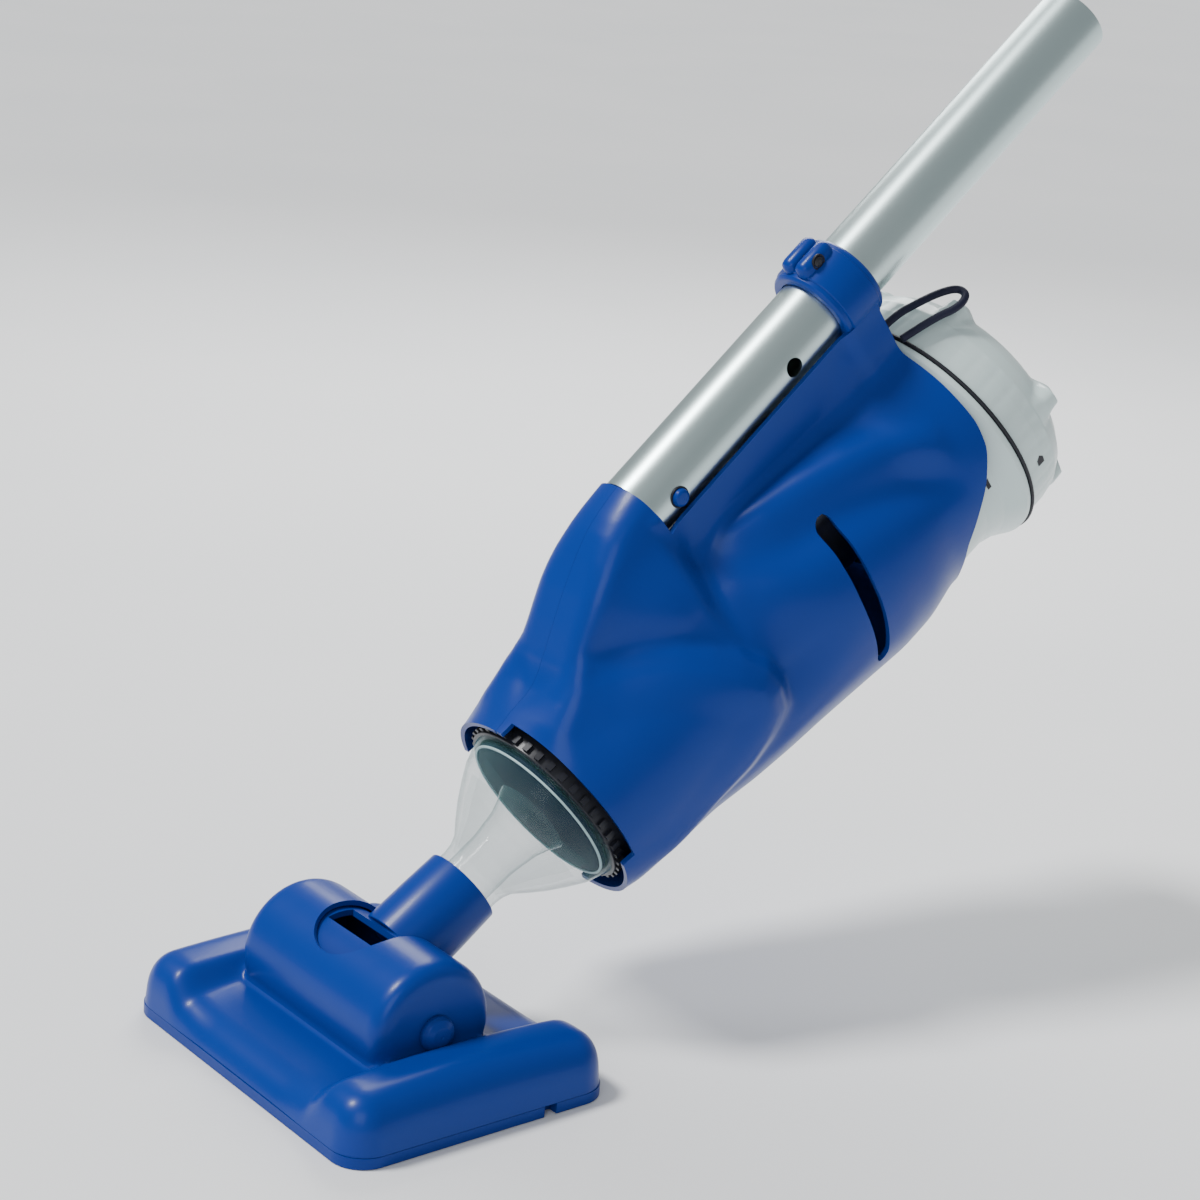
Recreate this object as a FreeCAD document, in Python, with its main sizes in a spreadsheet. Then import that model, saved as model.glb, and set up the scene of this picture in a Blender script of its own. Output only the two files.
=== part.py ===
import FreeCAD, Part
import Sketcher
import math
import os
from FreeCAD import Placement, Rotation, Vector

# Hand-held pool vacuum with a tilting suction head and a pole section, in millimetres.
#
# The row frame has +Z up and its origin at the centre of the head's flat sole. Four frames
# hold the rest: "nose" runs along the nose cone's axis from the head's pivot, "rear" along
# the motor housing's axis from its flange, "pole" along the pole from a point beside its
# lower end, and "head" is the row frame itself. In the three slanted frames local Z runs
# along the axis, away from the head, local X points down at the belly and local Y is row Y.

DIMENSIONS = {
    # standard 1-1/4 inch pool pole, the size that scales the whole object
    "pole_outer": 15.875,
    "pole_bore": 14.625,
    "plug_radius": 14.3,
    "pole_step": 43,
    "pole_start": 7,
    "pole_end": 310,
    "pole_angle": 40.93,
    "pole_along": 200,
    "pole_above": 79.1,
    "button_station": 20.5,
    "second_hole_station": 96,
    "button_hole": 4.25,
    # suction head
    "pivot_height": 30.7,
    "head_front": 59,
    "head_back": 67,
    "head_half_width": 82.5,
    "head_corner": 14,
    "head_deck": 19,
    "lobe_top": 27.5,
    "lobe_inner": 53,
    "sole_rim": 4.5,
    "sole_floor": 3,
    "head_wall": 2.6,
    "cowl_radius": 28.2,
    "cowl_bore": 25.7,
    "cowl_half_length": 50.4,
    "barrel_radius": 25.2,
    "barrel_half_length": 47.2,
    "pin_radius": 6,
    "running_gap": 0.05,
    # neck and nose
    "nose_angle": 35.45,
    "neck_base_radius": 18.75,
    "neck_end_radius": 17.3,
    "neck_length": 57.5,
    "neck_bore": 15.1,
    "spigot_radius": 14.85,
    "cone_wall": 2,
    "collar_radius": 40.3,
    "collar_front": 108,
    "collar_back": 118,
    # body shells
    "shell_wall": 2.6,
    "shell_front": 105,
    "shell_back": 352,
    "front_bore": 41,
    "grip_half_width": 18.5,
    "cradle_radius": 16.1,
    "clamp_radius": 20.5,
    "clamp_start": 124,
    "clamp_end": 148,
    # rear housing and cap
    "rear_angle": 38,
    "flange_station": 351,
    "housing_radius": 53,
    "flange_radius": 61,
    "snout_radius": 27,
    "cap_radius": 60,
    "cap_start": 2.1,
    "cap_end": 39,
    "shaft_radius": 1.6,
    "tether_radius": 1.75,
}


class Size:
    """A number together with the spreadsheet expression that gives it."""

    def __init__(self, value, text):
        self.value, self.text = value, text

    def _with(self, other, sign, result):
        return Size(result, f"({self.text} {sign} {other.text})")

    def __add__(self, other):
        other = size(other)
        return self._with(other, "+", self.value + other.value)

    __radd__ = __add__

    def __sub__(self, other):
        other = size(other)
        return self._with(other, "-", self.value - other.value)

    def __rsub__(self, other):
        return size(other) - self

    def __mul__(self, other):
        other = size(other)
        return self._with(other, "*", self.value * other.value)

    __rmul__ = __mul__

    def __neg__(self):
        return self * -1


def size(number):
    """Any plain number as a Size."""
    return number if isinstance(number, Size) else Size(float(number), f"({number})")


def cosine(angle):
    return Size(math.cos(math.radians(angle.value)), f"cos({angle.text})")


def sine(angle):
    return Size(math.sin(math.radians(angle.value)), f"sin({angle.text})")


class Sheet:
    """The document's spreadsheet: every driving dimension is an alias and an attribute."""

    def __init__(self, document, values):
        cells = document.addObject("Spreadsheet::Sheet", "Dim")
        for row, (alias, value) in enumerate(values.items(), start=1):
            cells.set(f"A{row}", alias)
            cells.set(f"B{row}", str(value))
            cells.setAlias(f"B{row}", alias)
            setattr(self, alias, Size(float(value), f"Dim.{alias}"))


doc = FreeCAD.newDocument("pool_vacuum")
d = Sheet(doc, DIMENSIONS)
doc.recompute()

PARTS = []          # the finished sub-parts, in the order they are made
CHAINS = []         # pairs of a cut and what it was cut from, which has to be larger


# ---------------------------------------------------------------- building blocks

def bind(obj, **sizes):
    """Set properties of an object, each bound to its expression."""
    for name, value in sizes.items():
        value = size(value)
        setattr(obj, name, value.value)
        obj.setExpression(name, value.text)
    return obj


def put(obj, at=(0, 0, 0), axis=(0, 0, 1), turn=0):
    """Place an object at a bound position, turned about an axis by a bound angle."""
    at = [size(value) for value in at]
    turn = size(turn)
    obj.Placement = Placement(Vector(*[value.value for value in at]), Rotation(Vector(*axis), turn.value))
    for letter, value in zip("xyz", at):
        obj.setExpression(f".Placement.Base.{letter}", value.text)
    if turn.value:
        obj.setExpression(".Placement.Rotation.Angle", turn.text)
    return obj


def cylinder(name, radius, height, at=(0, 0, 0), along="Z"):
    """A cylinder from a point, along Z, Y or X."""
    turns = {"Z": ((0, 0, 1), 0), "Y": ((1, 0, 0), -90), "X": ((0, 1, 0), 90)}
    solid = doc.addObject("Part::Cylinder", name)
    bind(solid, Radius=radius, Height=height)
    return put(solid, at, *turns[along])


def box(name, low, high):
    """A box between two corners."""
    low, high = [size(v) for v in low], [size(v) for v in high]
    solid = doc.addObject("Part::Box", name)
    bind(solid, Length=high[0] - low[0], Width=high[1] - low[1], Height=high[2] - low[2])
    return put(solid, low)


def fuse(name, *solids):
    joined = doc.addObject("Part::MultiFuse", name)
    joined.Shapes = list(solids)
    return joined


def cut(name, base, *tools):
    """The base without the tools. The tools are fused first when there are several."""
    tool = tools[0] if len(tools) == 1 else fuse(name + "_tools", *tools)
    result = doc.addObject("Part::Cut", name)
    result.Base, result.Tool = base, tool
    return result


def cut_each(name, base, *tools):
    """The base without the tools, taken away one after the other."""
    for index, tool in enumerate(tools):
        base = cut(f"{name}_step{index}", base, tool)
        CHAINS.append((base, base.Base))
    return base


def common(name, base, tool):
    result = doc.addObject("Part::Common", name)
    result.Base, result.Tool = base, tool
    result.Refine = False
    return result


def group(name, *solids):
    """Several separate solids in one node."""
    result = doc.addObject("Part::Compound", name)
    result.Links = list(solids)
    return result


def origin_plane(body, role):
    return next(item for item in body.Origin.OriginFeatures if item.Role == role)


def outline(body, plane, points):
    """A closed, fully bound polygon sketched on one of the body's origin planes."""
    sketch = body.newObject("Sketcher::SketchObject", body.Name + "_outline")
    sketch.AttachmentSupport = (origin_plane(body, plane), [""])
    sketch.MapMode = "FlatFace"
    points = [(size(u), size(v)) for u, v in points]
    corners = [Vector(u.value, v.value, 0) for u, v in points]
    for start, end in zip(corners, corners[1:] + corners[:1]):
        sketch.addGeometry(Part.LineSegment(start, end))
    for index in range(len(points)):
        following = (index + 1) % len(points)
        sketch.addConstraint(Sketcher.Constraint("Coincident", index, 2, following, 1))
    for index, (u, v) in enumerate(points):
        for kind, value in (("DistanceX", u), ("DistanceY", v)):
            number = sketch.addConstraint(Sketcher.Constraint(kind, -1, 1, index, 1, value.value))
            sketch.setExpression(f"Constraints[{number}]", value.text)
    return sketch


def revolved(name, points):
    """A solid of revolution about Z from (radius, station) points."""
    body = doc.addObject("PartDesign::Body", name)
    sketch = outline(body, "XZ_Plane", points)
    turned = body.newObject("PartDesign::Revolution", name + "_turn")
    turned.Profile = sketch
    turned.ReferenceAxis = (sketch, ["V_Axis"])
    turned.Angle = 360
    return body


def prism(name, points, half_width):
    """A polygon of (x, z) points, padded to both sides of the XZ plane."""
    body = doc.addObject("PartDesign::Body", name)
    sketch = outline(body, "XZ_Plane", points)
    padded = body.newObject("PartDesign::Pad", name + "_pad")
    padded.Profile = sketch
    padded.Midplane = True
    bind(padded, Length=size(half_width) * 2)
    return body


def bar(name, points, length, start):
    """A polygon of (x, y) points, padded along Z from a station."""
    body = doc.addObject("PartDesign::Body", name)
    sketch = outline(body, "XY_Plane", points)
    padded = body.newObject("PartDesign::Pad", name + "_pad")
    padded.Profile = sketch
    bind(padded, Length=length)
    return put(body, (0, 0, start))


def ring(name, inner, outer, start, end):
    """A plain ring about Z."""
    return revolved(name, [(inner, start), (outer, start), (outer, end), (inner, end)])


def rounded_slab(name, inset, low, high):
    """The head's footprint, moved in by an inset, as a slab between two heights."""
    corner = d.head_corner - inset
    front, back = -d.head_front + inset, d.head_back - inset
    side = d.head_half_width - inset
    parts = [
        box(name + "_long", (front + corner, -side, low), (back - corner, side, high)),
        box(name + "_wide", (front, -side + corner, low), (back, side - corner, high)),
    ]
    spots = [(x, y) for x in (front + corner, back - corner) for y in (-side + corner, side - corner)]
    for index, (x, y) in enumerate(spots):
        parts.append(cylinder(f"{name}_corner{index}", corner, size(high) - low, (x, y, low)))
    return fuse(name, *parts)


def mirrored(name, solid):
    """The solid's mirror image across the plane y = 0."""
    image = doc.addObject("Part::Mirroring", name)
    image.Source = solid
    image.Normal = Vector(0, 1, 0)
    return image


# ---------------------------------------------------------------- frames

FRAMES = {
    "head": ((0, 0, 0), size(0)),
    "nose": ((0, 0, d.pivot_height), 90 - d.nose_angle),
    "rear": (
        (
            d.flange_station * cosine(d.nose_angle),
            0,
            d.pivot_height + d.flange_station * sine(d.nose_angle),
        ),
        90 - d.rear_angle,
    ),
    "pole": (
        (
            d.pole_along * cosine(d.nose_angle) - d.pole_above * sine(d.nose_angle),
            0,
            d.pivot_height + d.pole_along * sine(d.nose_angle) + d.pole_above * cosine(d.nose_angle),
        ),
        90 - d.pole_angle,
    ),
}


def finish(label, solid, frame):
    """Name a finished sub-part, place it in its frame and keep it."""
    at, turn = FRAMES[frame]
    if not solid.Placement.isIdentity():
        solid = group(label + "_placed", solid)
    solid.Label = label
    put(solid, at, (0, 1, 0), turn)
    PARTS.append((label, solid))


def from_pole(name, solid):
    """A solid drawn in the pole's frame, moved into the nose frame."""
    holder = group(name, solid)
    return put(holder, (-d.pole_above, 0, d.pole_along), (0, 1, 0), d.nose_angle - d.pole_angle)


# ---------------------------------------------------------------- suction head

def head_top_shell():
    lobes, inner_lobes = [], []
    for name, near, far, tip in (("left", -d.head_half_width + d.head_corner, -d.lobe_inner, -78),
                                 ("right", d.lobe_inner, d.head_half_width - d.head_corner, 78)):
        lobes.append(box(f"lobe_{name}", (8 - d.head_front, near, 10), (d.head_back - 8, far, d.lobe_top)))
        low, high = (tip, -d.lobe_inner) if tip < 0 else (d.lobe_inner, tip)
        lobes.append(box(f"lobe_{name}_end", (12 - d.head_front, low, 10), (d.head_back - 12, high, d.lobe_top - 2)))
        inner_lobes.append(box(
            f"lobe_{name}_inside",
            (8 - d.head_front + d.head_wall, near + d.head_wall, 8),
            (d.head_back - 8 - d.head_wall, far - d.head_wall, d.lobe_top - d.head_wall),
        ))
    cowl = cylinder(
        "cowl", d.cowl_radius, d.cowl_half_length * 2, (0, -d.cowl_half_length, d.pivot_height), "Y"
    )
    outside = fuse("head_outside", rounded_slab("deck", 0, d.sole_rim, d.head_deck), cowl, *lobes)
    bore = cylinder(
        "cowl_bore", d.cowl_bore, (d.barrel_half_length + 0.5) * 2,
        (0, -d.barrel_half_length - 0.5, d.pivot_height), "Y",
    )
    slot = put(
        prism("neck_slot", [(0, 0)] + arc_points(45, -28, 132, 6), d.neck_base_radius + 0.9),
        (0, 0, d.pivot_height),
    )
    pin_holes = cylinder("cowl_pin_holes", d.pin_radius, 120, (0, -60, d.pivot_height), "Y")
    dome_room = [
        cylinder(f"dome_room_{name}", d.pin_radius + 1.8, 6, (0, start, d.pivot_height), "Y")
        for name, start in (("left", -d.cowl_half_length - 6), ("right", d.cowl_half_length))
    ]
    below = box("below_the_shell", (-80, -100, -20), (80, 100, d.sole_rim))
    inside = rounded_slab("deck_inside", d.head_wall, 0, d.head_deck - d.head_wall)
    shell = cut("top_shell", outside, inside, bore, slot, pin_holes, below, *inner_lobes, *dome_room)
    finish("head_top_shell", shell, "head")


def arc_points(radius, first, last, count):
    """Points (x, z) on an arc about the origin, between two angles up from +X."""
    step = (last - first) / (count - 1)
    angles = [math.radians(first + step * index) for index in range(count)]
    return [(radius * math.cos(a), radius * math.sin(a)) for a in angles]


def head_sole():
    plate = rounded_slab("sole_plate", 0, 0, d.sole_rim)
    well = rounded_slab("sole_well", d.head_wall, d.sole_floor, d.sole_rim + 1)
    mouth = box("suction_mouth", (-46, -58, -1), (-22, 58, 10))
    notches = [
        box(f"inlet_notch_{name}", (32, y0, -1), (38, y1, d.sole_rim + 1))
        for name, y0, y1 in (("left", -90, -78), ("right", 78, 90))
    ]
    finish("head_sole", cut("sole", plate, well, mouth, *notches), "head")


def head_neck():
    barrel = cylinder("barrel", d.barrel_radius, d.barrel_half_length * 2, (0, -d.barrel_half_length, 0), "Y")
    tube = doc.addObject("Part::Cone", "neck_tube")
    bind(tube, Radius1=d.neck_base_radius, Radius2=d.neck_end_radius, Height=d.neck_length)
    hollow = cylinder(
        "barrel_hollow", d.barrel_radius - 2.5, (d.barrel_half_length - 2.5) * 2,
        (0, -d.barrel_half_length + 2.5, 0), "Y",
    )
    bore = cylinder("neck_hollow", d.neck_bore, d.neck_length + 2, (0, 0, 5))
    pin_holes = cylinder("barrel_pin_holes", d.pin_radius + d.running_gap, 120, (0, -60, 0), "Y")
    window = prism("barrel_window", [(12, -40), (40, -40), (40, 2), (12, 2)], d.barrel_half_length - 6)
    relief = prism("barrel_relief", [(-9, 13.2), (-45, 2), (-45, 18), (-19, 26)], d.neck_base_radius)
    finish("head_neck", cut("neck", fuse("neck_outside", barrel, tube), hollow, bore, pin_holes, window, relief), "nose")


def pivot_pins():
    shank, head = d.pin_radius - 0.03, d.pin_radius + 1.3
    start, seat = d.barrel_half_length - 2.5, d.cowl_half_length
    pin = revolved("pin_left", [
        (0, -start), (0, -seat - 4.8), (3.6, -seat - 4.5), (6.1, -seat - 3.2),
        (head, -seat - 1.4), (head, -seat), (shank, -seat), (shank, -start),
    ])
    put(pin, (0, 0, d.pivot_height), (1, 0, 0), -90)
    both = group("pins", pin, mirrored("pin_right", pin))
    finish("pivot_pins", both, "head")


# ---------------------------------------------------------------- clear nose

CONE = (  # (station, outer radius) down the bell, from the spigot to the rim
    (62, 14.85), (66, 15.4), (70, 17), (75, 21.3), (81.5, 26.4), (88.6, 31.1), (96, 35.5), (104, 38.4),
)


def nose_cone():
    outside = [(d.spigot_radius, 33)] + [(radius, station) for station, radius in CONE]
    outside += [(d.collar_radius, d.collar_front), (d.collar_radius, d.collar_back)]
    inside = [(d.collar_radius - d.cone_wall, d.collar_back), (d.collar_radius - d.cone_wall, d.collar_front + 0.6)]
    inside += [(radius - 2.2, station + 0.6) for station, radius in reversed(CONE)]
    inside += [(d.spigot_radius - d.cone_wall, 33)]
    cone = revolved("cone_wall", outside + inside)
    lugs = [
        common(f"lug_{name}", ring(f"lug_ring_{name}", d.collar_radius - 1, 43.5, 110, 114),
               box(f"lug_part_{name}", low, high))
        for name, low, high in (
            ("top", (-50, -9, 105), (0, 9, 120)), ("bottom", (0, -9, 105), (50, 9, 120)),
        )
    ]
    finish("nose_cone", fuse("cone", cone, *lugs), "nose")


def valve_parts():
    seat = revolved("seat_plate", [(24.5, 103), (35.4, 103), (35.9, 105.4), (24.5, 105.4)])
    ribs = [
        box("seat_rib_across", (-1, -24.8, 99), (1, 24.8, 102.9)),
        box("seat_rib_up", (-24.8, -1, 99), (24.8, 1, 102.9)),
    ]
    lip = ring("seat_lip", 24.5, 26.5, 99, 103.1)
    finish("valve_seat", fuse("seat", seat, lip, *ribs), "nose")
    disc = cylinder("flap_disc", 26, 1.6, (0, 0, 105.8))
    knuckle = cylinder("flap_knuckle", 1.9, 16, (-26.5, -8, 107.9), "Y")
    hole = cylinder("flap_pin_hole", 0.85, 20, (-26.5, -10, 107.9), "Y")
    finish("flap_valve", cut("flap", fuse("flap_solid", disc, knuckle), hole), "nose")
    pin = cylinder("flap_pin_rod", 0.8, 22, (-26.5, -11, 107.9), "Y")
    posts = [
        cut(f"flap_post_{name}", box(f"flap_post_block_{name}", (-29, low, 105.4), (-25, high, 110.5)),
            cylinder(f"flap_post_hole_{name}", 0.8, 30, (-26.5, -15, 107.9), "Y"))
        for name, low, high in (("left", -11, -8.6), ("right", 8.6, 11))
    ]
    finish("flap_pin", pin, "nose")
    finish("flap_posts", group("posts", *posts), "nose")


def filter_parts():
    finish("nose_gasket", ring("gasket_ring", 36.5, 40.3, 118, 119.5), "nose")
    finish("filter_ring", revolved("bag_ring", [(34, 120), (45.7, 120), (46.4, 124), (34, 124)]), "nose")
    finish("filter_bag", revolved("bag_sock", [
        (34, 120), (34, 185), (31, 194), (24, 200), (0, 201.5), (0, 200.4),
        (23.6, 198.9), (30.1, 193.3), (33, 184.8), (33, 120),
    ]), "nose")


# ---------------------------------------------------------------- body shells

BARREL = (  # (station, centre above the axis, half-height, half-width)
    (105, 0, 48.2, 48.2), (130, 0, 50.2, 50.4), (157, -0.5, 51.8, 52), (180, -1, 54.6, 54.6),
    (200, -1, 56.3, 56.3), (220, -1, 57.4, 57.4), (245, -0.5, 59.6, 59.6), (270, -1, 61.2, 61.2),
    (288, -0.5, 60.8, 60.8), (305, 1.5, 57.6, 59), (330, 2, 59.6, 60.4), (352, 2, 61.4, 62),
)
REAR_EDGE = (  # (height above the axis, station) of the shell's back edge, seen from the side
    (110, 342.5), (48, 342.5), (19, 340), (5, 330), (-16, 311), (-45, 307), (-80, 306),
)


def barrel_loft(name, inset, first, last):
    """The body's barrel as a loft of ovals, each moved in by an inset."""
    ovals = []
    for index, (station, middle, half_height, half_width) in enumerate(BARREL):
        oval = doc.addObject("Part::Ellipse", f"{name}_oval{index}")
        bind(oval, MajorRadius=half_width - size(inset), MinorRadius=half_height - size(inset))
        start = first if index == 0 else last if index == len(BARREL) - 1 else station
        put(oval, (-middle, 0, start), (0, 0, 1), 90)
        ovals.append(oval)
    loft = doc.addObject("Part::Loft", name)
    loft.Sections = ovals
    loft.Solid = True
    loft.Ruled = True
    return loft


def pole_side_solids():
    """Grip, clamp ring and ear, drawn in the pole's frame."""
    width = d.grip_half_width
    grip = bar("grip_bar", [
        (6.5, width), (22, width), (28, width - 4), (31, width - 11), (31, 11 - width),
        (28, 4 - width), (22, -width), (6.5, -width),
    ], 141 - d.pole_start, d.pole_start)
    clamp = cylinder("clamp_ring", d.clamp_radius, d.clamp_end - d.clamp_start, (0, 0, d.clamp_start))
    ear = prism("clamp_ear", [(-29, 129), (-27, 127), (-15, 126), (-15, 143), (-26, 143), (-29, 140)], 7)
    return from_pole("grip_in_place", fuse("grip_solids", grip, clamp, ear))


def pole_side_cuts():
    """The cradle, the spigot's pocket and the ear's screw hole, drawn in the pole's frame."""
    cradle = cylinder("cradle", d.cradle_radius, 170, (0, 0, d.pole_start - 0.4))
    pocket = cylinder("spigot_pocket", 8.05, 15, (0, 0, d.pole_start - 13))
    screw = cylinder("ear_screw_hole", 1.6, 20, (-23.5, -10, 135), "Y")
    notch = cylinder("button_notch", d.button_hole + 0.4, 10, (0, -23, d.button_station), "Y")
    lightening = box("grip_hollow", (18.6, -12, 20), (23.6, 12, 108))
    return from_pole("pole_cuts_in_place", fuse("pole_cut_solids", cradle, pocket, screw, notch, lightening))


def shells():
    front_root = prism("front_root", [
        (-40, 122), (-48, 130), (-57, 138.5), (-67, 151), (-75.5, 162), (-84, 174.6), (-89.5, 184),
        (-92.6, 191), (-95.8, 200), (-96.5, 205),
        (-94, 207), (-62, 210), (-46, 216), (-30, 216),
    ], d.grip_half_width)
    rear_root = prism("rear_root", [(-50, 303), (-56, 300), (-78, 318), (-78, 342.5), (-50, 342.5)], 17)
    behind = prism("behind_the_shell", [(-height, station) for height, station in REAR_EDGE] + [
        (80, 400), (-110, 400),
    ], 90)
    barrel = cut_each("barrel_trim", barrel_loft("barrel_outside", 0, d.shell_front, d.shell_back), behind)
    outside = fuse("shell_outside", barrel, pole_side_solids(), front_root, rear_root)
    hollow = barrel_loft("barrel_inside", d.shell_wall, 119, d.shell_back + 4)
    front = cylinder("front_opening", d.front_bore, 20, (0, 0, 100))
    groove = cylinder("lug_groove", 44.2, 5, (0, 0, 109.5))
    tether_hole = cylinder("tether_hole", d.tether_radius + 0.4, 6, (-69, -14, 337.6))
    cuts = [hollow, front, groove, pole_side_cuts(), tether_hole]
    # the front edge steps back over a quarter turn on each side, half a turn apart
    cuts.append(box("collar_recess_left", (-60, -70, 100), (12.6, -4.2, 111)))
    cuts.append(box("collar_recess_right", (-12.6, 4.2, 100), (60, 70, 111)))
    cuts.append(prism("gills", [
        (-39, 258), (-25, 254), (-10, 252), (9, 250), (28, 249), (29, 256.5), (10, 259), (-8, 260), (-21, 261), (-35, 263),
    ], 90))
    for index, station in enumerate((207, 227)):
        cuts.append(box(f"belly_slot_{index}", (48, -24, station - 2), (64, -15, station + 2)))
        cuts.append(box(f"belly_slot_far_{index}", (48, 15, station - 2), (64, 24, station + 2)))
    for index, (height, station) in enumerate(SHELL_SCREWS):
        cuts.append(cylinder(f"screw_hole_{index}", 1.6, 26, (-height, -8, station), "Y"))
        cuts.append(cylinder(f"screw_sink_{index}", 3.3, 12, (-height, 10, station), "Y"))
    whole = cut_each("shell_whole", outside, *cuts)
    for name, low, high in (("left", -100, 0), ("right", 0, 100)):
        half = box(f"half_{name}", (-150, low, 90), (100, high, 420))
        finish(f"body_shell_{name}", common(f"shell_{name}", whole, half), "nose")


SHELL_SCREWS = ((59, 160), (72, 188), (66, 322))    # (height above the axis, station)


def shell_fasteners():
    screws = [
        fuse(f"shell_screw_{index}",
             cylinder(f"shell_screw_shank_{index}", 1.6, 17.9, (-height, -7.9, station), "Y"),
             cylinder(f"shell_screw_head_{index}", 3, 2.4, (-height, 10, station), "Y"))
        for index, (height, station) in enumerate(SHELL_SCREWS)
    ]
    finish("shell_screws", group("screws", *screws), "nose")
    screw = fuse(
        "clamp_screw_solid",
        cylinder("clamp_screw_shank", 1.6, 15.4, (-23.5, -7, 135), "Y"),
        cylinder("clamp_screw_head", 3, 1.9, (-23.5, -8.9, 135), "Y"),
    )
    finish("clamp_screw", screw, "pole")


def pole_parts():
    length = d.pole_end - d.pole_start
    tube = cylinder("pole_tube", d.pole_outer, length, (0, 0, d.pole_start))
    # the bore is sized for the next pole section down to a step, and a little tighter round the plug
    bore = cylinder("pole_hollow", d.pole_bore, length, (0, 0, d.pole_step))
    tight = cylinder("pole_plug_bore", d.plug_radius, d.pole_step, (0, 0, d.pole_start - 1))
    holes = [
        cylinder(f"pole_hole_{index}", d.button_hole, 20, (0, side, station), "Y")
        for index, (side, station) in enumerate(
            ((-20, d.button_station), (-20, d.second_hole_station), (0, d.pole_end - 22))
        )
    ]
    finish("pole_section", cut("pole", tube, bore, tight, *holes), "pole")
    spigot = fuse(
        "spigot_rod",
        cylinder("spigot_plug", d.plug_radius, 35, (0, 0, d.pole_start)),
        cylinder("spigot_tail", 8, 13, (0, 0, d.pole_start - 12)),
    )
    button_bore = cylinder("button_bore", 4.05, 26, (0, -16, d.button_station), "Y")
    finish("pole_spigot", cut("spigot", spigot, button_bore), "pole")
    button = revolved("button_pin", [(0, -18.6), (0, -6), (3.9, -6), (3.9, -17.4), (2.8, -18.4)])
    put(button, (0, 0, d.button_station), (1, 0, 0), -90)
    finish("snap_button", group("button", button), "pole")
    spring = ring("button_coil", 2.6, 3.6, -1.5, 10)
    put(spring, (0, 0, d.button_station), (1, 0, 0), -90)
    finish("button_spring", group("spring", spring), "pole")


# ---------------------------------------------------------------- motor unit and cap

def rear_housing():
    wide, flange, snout = d.housing_radius, d.flange_radius, d.snout_radius
    shell = revolved("housing_wall", [
        (5, -92), (snout, -92), (snout, -51), (49, -51), (49, -43.5), (wide, -43.5), (wide, -21),
        (55.6, -12), (60, -5), (flange, -3), (flange, 0), (56.5, 0), (54, -8), (wide - 2.6, -18),
        (wide - 2.6, -41), (46.4, -41), (46.4, -48.4), (snout - 2.5, -48.4), (snout - 2.5, -89.5), (5, -89.5),
    ])
    post = cut(
        "tether_post",
        box("tether_post_block", (-66, -25, -4), (-52, -15, 0)),
        cylinder("tether_post_hole", d.tether_radius + 0.5, 4, (-62.5, -20, -2.4)),
    )
    finish("rear_housing", fuse("housing", shell, post), "rear")
    finish("cap_gasket", ring("flange_gasket", 57.4, 61.8, 0, 1.6), "rear")


def drive_parts():
    finish("shaft_seal", ring("seal_ring", d.shaft_radius + d.running_gap, 5, -92, -89.5), "rear")
    can = cylinder("motor_can", 18, 44, (0, 0, -86))
    nose = cylinder("motor_nose", 7, 3, (0, 0, -89))
    shaft_hole = cylinder("motor_shaft_hole", d.shaft_radius + d.running_gap, 16, (0, 0, -90))
    finish("motor", cut("motor_solid", fuse("motor_body", can, nose), shaft_hole), "rear")
    finish("motor_clamp", ring("clamp_band", 18, 24.5, -62, -56), "rear")
    finish("motor_shaft", cylinder("shaft_rod", d.shaft_radius, 43, (0, 0, -118)), "rear")
    hub = cylinder("impeller_hub", 6, 16, (0, 0, -114))
    back = cylinder("impeller_back", 26, 1.8, (0, 0, -99.8))
    blades = []
    for index in range(6):
        blade = box(f"impeller_blade_{index}", (3, -0.8, -111), (25, 0.8, -99))
        blades.append(put(group(f"impeller_vane_{index}", blade), (0, 0, 0), (0, 0, 1), 60 * index))
    hole = cylinder("impeller_hole", d.shaft_radius, 30, (0, 0, -120))
    finish("impeller", cut("impeller_solid", fuse("impeller_body", hub, back, *blades), hole), "rear")
    guard = ring("guard_rim", 27, 31, -128, -124)
    bars = [
        box(f"guard_bar_{index}", (offset - 0.9, -28, -127), (offset + 0.9, 28, -125))
        for index, offset in enumerate((-16, -8, 0, 8, 16))
    ]
    finish("impeller_guard", fuse("guard", guard, *bars), "rear")


def battery_parts():
    cells = []
    for index in range(6):
        cell = cylinder(f"cell_{index}", 11, 42.3, (34, 0, -39.2))
        cells.append(put(group(f"cell_place_{index}", cell), (0, 0, 0), (0, 0, 1), 60 * index))
    finish("battery_cells", group("cells", *cells), "rear")
    tray = ring("tray_plate", 19, 50.2, -41, -39.2)
    finish("battery_tray", tray, "rear")
    finish("contact_plate", cylinder("contact_disc", 48, 1.6, (0, 0, 3.1)), "rear")


def end_cap():
    start, end, radius = d.cap_start, d.cap_end, d.cap_radius
    wall = revolved("cap_wall", [
        (9.3, end), (38, end), (44, end - 2.3), (50, end - 6.1), (55.4, end - 11.5), (58.9, end - 18),
        (radius, start + 8), (radius, start), (57.2, start), (56.4, end - 20), (52.6, end - 13),
        (47.6, end - 7.6), (42, end - 4.2), (37, end - 2.6), (9.3, end - 2.6),
    ])
    lugs = []
    for index in range(6):
        lug = cylinder(f"cap_lug_{index}", 7, 9, (-51.5, 0, end - 13))
        lugs.append(put(group(f"cap_lug_place_{index}", lug), (0, 0, 0), (0, 0, 1), 60 * index + 21))
    inside = cylinder("cap_inside", 52.5, 38, (0, 0, -5))
    finish("end_cap", fuse("cap", wall, cut("cap_lugs", fuse("cap_lug_set", *lugs), inside)), "rear")
    button = revolved("button_profile", [
        (0, end - 6.5), (11.5, end - 6.5), (11.5, end - 2.9), (9, end - 2.9), (9, end + 1.6),
        (7.6, end + 2.4), (0, end + 2.8),
    ])
    finish("power_button", button, "rear")


# ---------------------------------------------------------------- tether loop

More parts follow.
